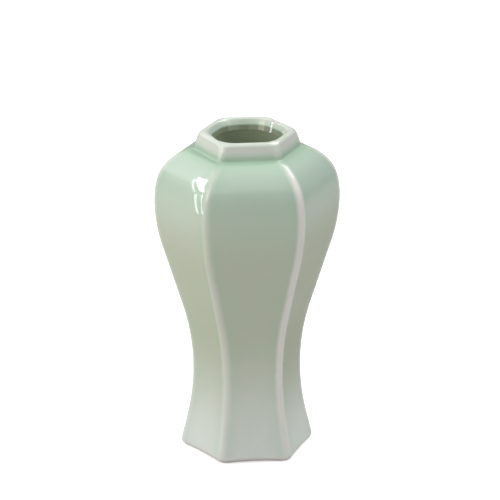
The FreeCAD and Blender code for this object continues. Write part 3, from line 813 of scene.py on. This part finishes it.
@dataclass(frozen=True)
class BarePorcelain(Finish):
    """Porcelain fired without glaze: smooth, matt and faintly warm, with a fine grain of sand.

    Attributes:
        body: colour of the fired clay.
        toasted: colour where the fire has warmed it.
        patch: size of the warmed patches, in metres.
        grain: size of its grain, in metres. It is drawn coarser than the real 0.05 mm, to show.
        grain_depth: depth of the grain, in metres.
    """

    body: str = "#d6d0cb"
    toasted: str = "#c3b3a6"
    patch: float = 12 * MM
    grain: float = 0.5 * MM
    grain_depth: float = 0.05 * MM

    def shade(self, tree: NodeTree) -> Node:
        """Add the nodes of the clay's colour and grain."""
        coordinates = add_node(tree, "ShaderNodeTexCoord").outputs["Object"]
        warm = grade(tree, noise(tree, coordinates, self.patch, 4.0), 0.4, 0.7)
        colour = mix(tree, warm, linear(self.body), linear(self.toasted))
        bump = add_node(tree, "ShaderNodeBump", {
            "Height": noise(tree, coordinates, self.grain, 2.0), "Distance": self.grain_depth})
        return add_node(tree, "ShaderNodeBsdfPrincipled", {
            "Base Color": colour, "Roughness": 0.7, "Normal": bump})


@dataclass(frozen=True)
class MattPaper(Finish):
    """White paper without gloss, faintly fibrous. It shows white to the camera and keeps the shadow.

    Attributes:
        tones: its lowest and highest tone.
        fibre: how many fibres it has to the metre.
        glow: how much it is lifted for the camera.
    """

    tones: Point = (0.62, 0.66)
    fibre: float = 60.0
    glow: float = 0.62

    def shade(self, tree: NodeTree) -> Node:
        """Add the nodes of the paper's tone and of what the camera sees of it."""
        coordinates = add_node(tree, "ShaderNodeTexCoord").outputs["Object"]
        fibre = add_node(tree, "ShaderNodeTexNoise", {
            "Vector": coordinates, "Scale": self.fibre, "Detail": 3.0})
        tone = grade(tree, fibre, 0.0, 1.0, *self.tones)
        colour = add_node(tree, "ShaderNodeCombineColor", {0: tone, 1: tone, 2: tone})
        paper = add_node(tree, "ShaderNodeBsdfDiffuse", {"Color": colour})
        white = add_node(tree, "ShaderNodeEmission", {"Color": (1, 1, 1, 1), "Strength": self.glow})
        lit = add_node(tree, "ShaderNodeAddShader", {0: paper, 1: white})
        seen = add_node(tree, "ShaderNodeLightPath").outputs["Is Camera Ray"]
        return add_node(tree, "ShaderNodeMixShader", {0: seen, 1: paper, 2: lit})


@dataclass
class GlazeCoats:
    """The three coats of glaze: outside and over the rim, inside, and under the floor.

    Lengths are in metres.

    Attributes:
        form: the rule that shapes them.
        profile: the vase's profile.
        step: longest distance between two points of a shown outline.
        lip_corners: rounding of the lip's corners along it, down to the throat's.
        lip_pools: how thick the glaze lies along the lip, up to 2 where the lining's colour begins,
        darkened there as painted shade of the throat.
        rim_round: rolled outer edge of the rim.
        mouth_round: rolled inner edge of the rim.
        mouth_flare: how far the throat widens up to the rim.
        pool_round: hollow of the glaze pooled round the collar.
        foot_thins: height above the coat's lower edge where it has its full thickness.
        thinned: how much thinner than even it is at that edge.
        collar_pools: distance from the collar's seam where the pool of glaze begins.
        pooled: how much thicker than even it is at the seam.
        crisp: distance of a row that keeps an edge crisp.
    """

    form: SixSidedForm
    profile: Profile
    step: float = 0.62 * MM
    lip_corners: Stops = ((0, 3.4 * MM), (0.3, 4.2 * MM), (0.5, 7.5 * MM), (0.74, 15 * MM))
    # the stops that reach 2 paint the throat's shade in the dark lining colour
    lip_pools: Stops = ((0, 0.92), (0.07, 0.84), (0.2, 0.36), (0.32, 0.2), (0.52, 0.25), (0.66, 0.28),
                        (0.83, 0.42), (0.86, 2.0), (1, 2.0))
    rim_round: float = 2.8 * MM
    mouth_round: float = 1.8 * MM
    mouth_flare: float = 3.3 * MM
    pool_round: float = 1.5 * MM
    foot_thins: float = 3.2 * MM
    thinned: float = 0.4
    collar_pools: float = 11 * MM
    pooled: float = 0.42
    crisp: float = 0.06 * MM

    @property
    def throat_corner(self) -> float:
        """Rounding of the throat's corners, in metres."""
        return self.lip_corners[-1][1]

    def _lip(self) -> Outline:
        """The collar's face, its rolled rim and the throat, from the seam to the coat's end."""
        p, fine = self.profile, self.step / 3
        tuck, seam = p.shoulder_point(0.0, p.under_collar), p.seam
        rim = (p.collar_apothem - p.collar_height * math.tan(math.radians(p.collar_lean)), p.rim)
        mouth, end = (p.throat_apothem + self.mouth_flare, p.rim), (p.throat_apothem, p.coat_end)
        bare = Outline()
        fillet(bare, tuck, seam, rim, self.pool_round, fine)
        up = Vector(rim) - Vector(seam)
        bare.line(tuple(Vector(seam) + up * 0.2), tuple(Vector(seam) + up * 0.7), self.step)
        fillet(bare, seam, rim, mouth, self.rim_round, fine)
        fillet(bare, rim, mouth, end, self.mouth_round, fine)
        bare.line(bare.points[-1], (end[0], end[1] + self.crisp), self.step)
        bare.add(end)
        length = sum(math.dist(a, b) for a, b in zip(bare.points, bare.points[1:]))
        lip, gone = Outline(), 0.0
        for number, point in enumerate(bare.points):
            gone += math.dist(bare.points[number - 1], point) if number else 0.0
            share = gone / length
            lip.add(point, ramp(self.lip_corners, share), ramp(self.lip_pools, share))
        return lip

    def _outside(self) -> Outline:
        """The shown side of the outer coat, from the foot up, over the rim and down the throat."""
        p = self.profile
        wall = p.foot_line(p.glaze_stops, self.step / 2)
        wall.extend(p.wall_line(0.0, wall.points[-1][1], p.under_collar, self.step))
        bottom = wall.points[0][1]
        line = Outline()
        for point, corner in zip(wall.points, p.corners(wall, 0.0)):
            near_foot = max(0.0, 1 - (point[1] - bottom) / self.foot_thins)
            near_collar = max(0.0, 1 - math.dist(point, p.seam) / self.collar_pools)
            line.add(point, corner, EVEN - self.thinned * near_foot + self.pooled * near_collar)
        line.extend(self._lip())
        return line

    def outer(self, finish: Material) -> Piece:
        """The outer coat, closed by its hidden side, which keeps below the shown one everywhere."""
        p = self.profile
        line = self._outside()
        back, top, drop = Outline(), p.rim - p.glaze, p.rim - p.coat_end
        for share, corner in ((0.0, self.throat_corner), (0.4, 12 * MM), (0.8, 9 * MM)):
            back.add((p.bore + share * self.mouth_flare, p.coat_end + share * drop), corner)
        back.add((p.bore + self.mouth_flare + 0.3 * MM, top), 7 * MM)
        face = p.collar_apothem - p.glaze
        edge = face - (top - p.collar_foot) * math.tan(math.radians(p.collar_lean))
        back.line((edge - 1.6 * MM, top - 0.3 * MM), (edge, top - 2.6 * MM), 1 * MM, 6 * MM)
        back.line((edge + 0.2 * MM, top - 4 * MM), (face, p.collar_foot), 2 * MM, 3 * MM)
        under = p.foot_line(p.glaze_stops, 0.6 * MM, bare=True)
        under.extend(p.wall_line(p.glaze, under.points[-1][1], p.under_collar, 4 * MM))
        under.corners = p.corners(under, p.glaze)
        back.extend(under, backwards=True)
        line.extend(back)
        return self.form.make("outer_coat", line, finish)

    def inner(self, finish: Material) -> Piece:
        """The inner coat, from the throat down over the floor."""
        p, near_axis = self.profile, 0.001 * MM
        lined, top = p.hollow + p.liner, p.floor_top + p.liner
        line = Outline()
        line.add((0.0, p.floor_top), 0.0, 0.6)
        outside = p.wall_line(p.hollow, p.floor_top, p.ceiling_turn, 4 * MM, 1 * MM)
        line.line((near_axis, p.floor_top), outside.points[0], 8 * MM, 0.0, 0.6)
        line.extend(outside)
        ceiling = p.shoulder_point(p.hollow, p.ceiling_turn)[1]
        line.line((p.bore, ceiling), (p.bore, p.coat_end), 4 * MM, self.throat_corner, 0.6)
        line.add((p.throat_apothem, p.coat_end), self.throat_corner)
        under = p.shoulder_point(lined, p.ceiling_turn)[1]
        line.line((p.throat_apothem, p.coat_end - self.crisp), (p.throat_apothem, under), 1 * MM,
                  self.throat_corner)
        inside = p.wall_line(lined, top, p.ceiling_turn, 1.5 * MM, 2 * MM)
        line.extend(inside, backwards=True)
        line.line((inside.points[0][0] - 1 * MM, top), (near_axis, top), 4 * MM, 0.0, 0.9)
        line.add((0.0, top), 0.0, 0.9)
        return self.form.make("inner_coat", line, finish, closed=False, flat_columns=10, corner_columns=6)

    def base(self, finish: Material) -> Piece:
        """The coat under the floor."""
        p, near_axis = self.profile, 2 * MM
        low = p.floor_rise - p.liner
        edge = p.wall_line(p.hollow, low, p.ceiling_turn, 4 * MM).points[0][0]
        line = Outline()
        line.add((0.0, low), 0.0, 0.6)
        line.line((near_axis, low), (edge, low), 3 * MM, 0.0, 0.6)
        line.line((edge, p.floor_rise), (near_axis, p.floor_rise), 6 * MM)
        line.add((0.0, p.floor_rise))
        return self.form.make(
            "underside_coat", line, finish, closed=False, flat_columns=8, corner_columns=2)


@dataclass
class Clay:
    """The porcelain: the wall of six luted panels, the floor slab and the collar.

    Attributes:
        form: the rule that shapes them.
        profile: the vase's profile.
        seam_round: sharp inside corner where two panels meet, in metres.
    """

    form: SixSidedForm
    profile: Profile
    seam_round: float = 0.3 * MM

    def wall(self, finish: Material) -> Piece:
        """The six panels as one luted wall, with the spigot's opening at its top."""
        p = self.profile
        outside = p.foot_line(-90, 0.3 * MM, bare=True)
        outside.extend(p.wall_line(p.glaze, outside.points[-1][1], p.crown_turn, 2 * MM))
        outside.corners = p.corners(outside, p.glaze)
        inside = p.wall_line(p.hollow, 0.0, p.ceiling_turn, 3 * MM, self.seam_round)
        line = Outline()
        line.add(inside.points[0], self.seam_round)
        line.extend(outside)
        opening = p.bore + p.spigot_wall
        line.line((opening, outside.points[-1][1]), (opening, inside.points[-1][1]), 2 * MM, 3 * MM)
        line.extend(inside, backwards=True)
        return self.form.make("porcelain_wall", line, finish, flat_columns=6, corner_columns=2)

    def floor(self, finish: Material) -> Piece:
        """The floor slab, trimmed to the inside of the panels."""
        p, near_axis = self.profile, 4 * MM
        low, high = (p.wall_line(p.hollow, height, p.ceiling_turn, 4 * MM).points[0]
                     for height in (p.floor_rise, p.floor_top))
        line = Outline()
        line.add((0.0, p.floor_rise))
        line.line((near_axis, p.floor_rise), low, 8 * MM)
        line.line(low, high, 2 * MM)
        line.line((high[0] - 2 * MM, p.floor_top), (near_axis, p.floor_top), 8 * MM)
        line.add((0.0, p.floor_top))
        return self.form.make(
            "porcelain_floor", line, finish, closed=False, flat_columns=4, corner_columns=1)

    def collar(self, finish: Material) -> Piece:
        """The collar, coped to the shoulder, with its spigot in the opening."""
        p = self.profile
        bore, top, under = p.bore, p.rim - p.glaze, p.collar_foot - p.glaze
        opening = bore + p.spigot_wall
        low = p.shoulder_point(p.glaze, p.ceiling_turn)[1] - p.wall
        face = p.collar_apothem - p.glaze
        high = face - (top - p.collar_foot) * math.tan(math.radians(p.collar_lean))
        line = Outline()
        for point, corner in (
                ((bore, low), 6 * MM), ((opening, low), 3 * MM), ((opening, under), 3 * MM),
                ((face, under), 3 * MM), ((high + 0.3 * MM, top - 3.4 * MM), 5 * MM),
                ((high - 2.6 * MM, top - 0.6 * MM), 8 * MM), ((bore + 3.4 * MM, top - 0.6 * MM), 8 * MM),
                ((bore + 1.6 * MM, top - 3.2 * MM), 10 * MM), ((bore, p.coat_end), 11 * MM)):
            line.add(point, corner)
        return self.form.make("porcelain_collar", line, finish, flat_columns=4, corner_columns=4)


@dataclass
class Vase:
    """The whole vase: clay, coats and their finishes."""

    profile: Profile = field(default_factory=Profile)
    hands: HandMade = field(default_factory=HandMade)

    def build(self) -> None:
        """Make every piece, set it on the root body, hide the nodes that it stands for and log them."""
        form = SixSidedForm(self.hands)
        celadon = CeladonGlaze().make("fired_celadon_glaze")
        dull = dict.fromkeys(("body", "shoulder", "flank", "ridge", "foot"), "#939e87")
        lining = CeladonGlaze(**dull, pool="#84947b", gloss=0.08).make("fired_celadon_lining")
        porcelain = BarePorcelain().make("bisque_porcelain")
        coats, clay = GlazeCoats(form, self.profile), Clay(form, self.profile)
        panels = [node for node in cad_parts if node.endswith("_panel")]
        for piece, slot, nodes in (
                (coats.outer(celadon), Slot.GLAZE, ["outer_glaze"]),
                (coats.inner(lining), Slot.GLAZE, ["inner_glaze"]),
                (coats.base(celadon), Slot.GLAZE, ["base_glaze"]),
                (clay.wall(porcelain), Slot.CLAY, panels),
                (clay.floor(porcelain), Slot.CLAY, ["floor_slab"]),
                (clay.collar(porcelain), Slot.CLAY, ["neck_collar"])):
            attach(piece, "root")
            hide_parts(*nodes)
            LOG.info("%s stands for %s", piece.name, ", ".join(nodes))


@dataclass(frozen=True)
class Softbox:
    """A softbox beside the vase. Its lengths are in metres and its power in watts.

    Attributes:
        place: where it hangs.
        aim: the point that it faces.
        lean: how far its top leans to the left as it faces the aim, in degrees.
    """

    name: str
    place: tuple[float, float, float]
    aim: tuple[float, float, float]
    width: float
    height: float
    power: float
    tint: str = "#ffffff"
    lean: float = 0.0

    def hang(self) -> None:
        """Put the softbox in the scene."""
        lamp = bpy.data.lights.new(self.name, "AREA")
        lamp.shape = "RECTANGLE"
        lamp.size, lamp.size_y, lamp.energy = self.width, self.height, self.power
        lamp.color = linear(self.tint)[:3]
        holder = put(self.name, lamp)
        holder.location = self.place
        facing = (Vector(self.aim) - Vector(self.place)).to_track_quat("-Z", "Y")
        holder.rotation_euler = (facing @ Quaternion((0, 0, 1), math.radians(self.lean))).to_euler()


@dataclass
class Studio:
    """Floor, backdrop, softboxes and camera.

    The camera's values are in degrees and metres, as fitted to the vase's outline. It aims right of
    the axis by aim_across, and its focal length is a share of the sensor's width, which is in
    millimetres. The walls are as bright as wall_light in all but the camera's own rays.
    """

    camera_azimuth: float = -5.781
    camera_elevation: float = 20.971
    camera_roll: float = 0.202
    camera_distance: float = 2.0
    aim_across: float = 1.748 * MM
    aim_height: float = 123.997 * MM
    focal_share: float = 3339.04 / 500
    sensor: float = 36.0
    floor_reach: float = 6.0
    wall_light: float = 0.3

    def camera(self) -> None:
        """Set the camera at the photograph's viewing angle."""
        around = Matrix.Rotation(math.radians(self.camera_azimuth), 4, "Z")
        tilt = Matrix.Rotation(math.radians(90 - self.camera_elevation), 4, "X")
        turned = around @ tilt @ Matrix.Rotation(math.radians(self.camera_roll), 4, "Z")
        aim = around @ Vector((self.aim_across, 0, self.aim_height))
        data = bpy.data.cameras.new("camera")
        data.sensor_width, data.lens = self.sensor, self.focal_share * self.sensor
        data.clip_start, data.clip_end = 0.05, 60.0
        camera = put("camera", data)
        back = turned @ Vector((0, 0, self.camera_distance))
        camera.matrix_world = Matrix.Translation(aim + back) @ turned
        bpy.context.scene.camera = camera

    def floor(self) -> None:
        """Lay a plain pale floor."""
        mesh = bpy.data.meshes.new("studio_floor")
        reach = self.floor_reach
        corners = [(-reach, -reach, 0), (reach, -reach, 0), (reach, reach, 0), (-reach, reach, 0)]
        mesh.from_pydata(corners, [], [(0, 1, 2, 3)])
        mesh.materials.append(MattPaper().make("matt_white_paper"))
        put("studio_floor", mesh)

    def backdrop(self) -> None:
        """White to the camera, and a plain grey light to everything else."""
        world = bpy.data.worlds.new("studio_walls")
        bpy.context.scene.world = world
        world.use_nodes = True
        tree = world.node_tree
        tree.nodes.clear()
        seen = add_node(tree, "ShaderNodeLightPath").outputs["Is Camera Ray"]
        strength = grade(tree, seen, 0.0, 1.0, self.wall_light)
        shell = add_node(tree, "ShaderNodeBackground", {"Color": (1, 1, 1, 1), "Strength": strength})
        add_node(tree, "ShaderNodeOutputWorld", {"Surface": shell})

    def softboxes(self) -> None:
        """Hang the softboxes.

        The key, the sky and the window light the vase from the left, and the narrow panes are what
        its left shoulder mirrors of that window. A strip and a back light stand on the right, and a
        wide soft light hangs above.
        """
        middle, shoulder = (0.0, 0.0, 0.11), (-0.033, -0.036, 0.168)
        for softbox in (
                Softbox("key_box", (-0.95, -0.6, 0.85), middle, 0.5, 0.7, 4.4, "#fffae6"),
                Softbox("sky_box", (-0.62, 0.62, 0.66), shoulder, 0.7, 0.45, 1.0, "#fafffd"),
                Softbox("window_box", (-0.94, -0.165, 0.42), middle, 0.5, 0.8, 1.6, "#fffaea"),
                Softbox("upper_pane", (-0.444, 0.154, 0.379), shoulder, 0.046, 0.19, 0.34, lean=41),
                Softbox("lower_pane", (-0.518, 0.085, 0.177), shoulder, 0.022, 0.24, 0.13, lean=9),
                Softbox("side_pane_high", (-0.462, 0.171, 0.319), shoulder, 0.013, 0.175, 0.05, lean=29),
                Softbox("side_pane_low", (-0.506, 0.125, 0.142), shoulder, 0.015, 0.2, 0.07, lean=3),
                Softbox("strip_box", (0.78, -0.44, 0.5), middle, 0.08, 0.8, 0.4, "#fff0dc"),
                Softbox("back_box", (0.5, 0.34, 0.95), middle, 0.6, 0.6, 4.6, "#fbfff6"),
                Softbox("top_box", (0.05, -0.25, 1.3), middle, 2.0, 2.0, 12.5, "#fafffb")):
            softbox.hang()

    def build(self) -> None:
        """Set up the studio."""
        self.floor()
        self.backdrop()
        self.softboxes()
        self.camera()
        bpy.context.scene.view_settings.view_transform = "Standard"


def main() -> None:
    """Build the vase and its studio, and report each piece."""
    logging.basicConfig(level=logging.INFO, format="%(name)s: %(message)s")
    Vase().build()
    Studio().build()


if __name__ == "__main__":
    main()
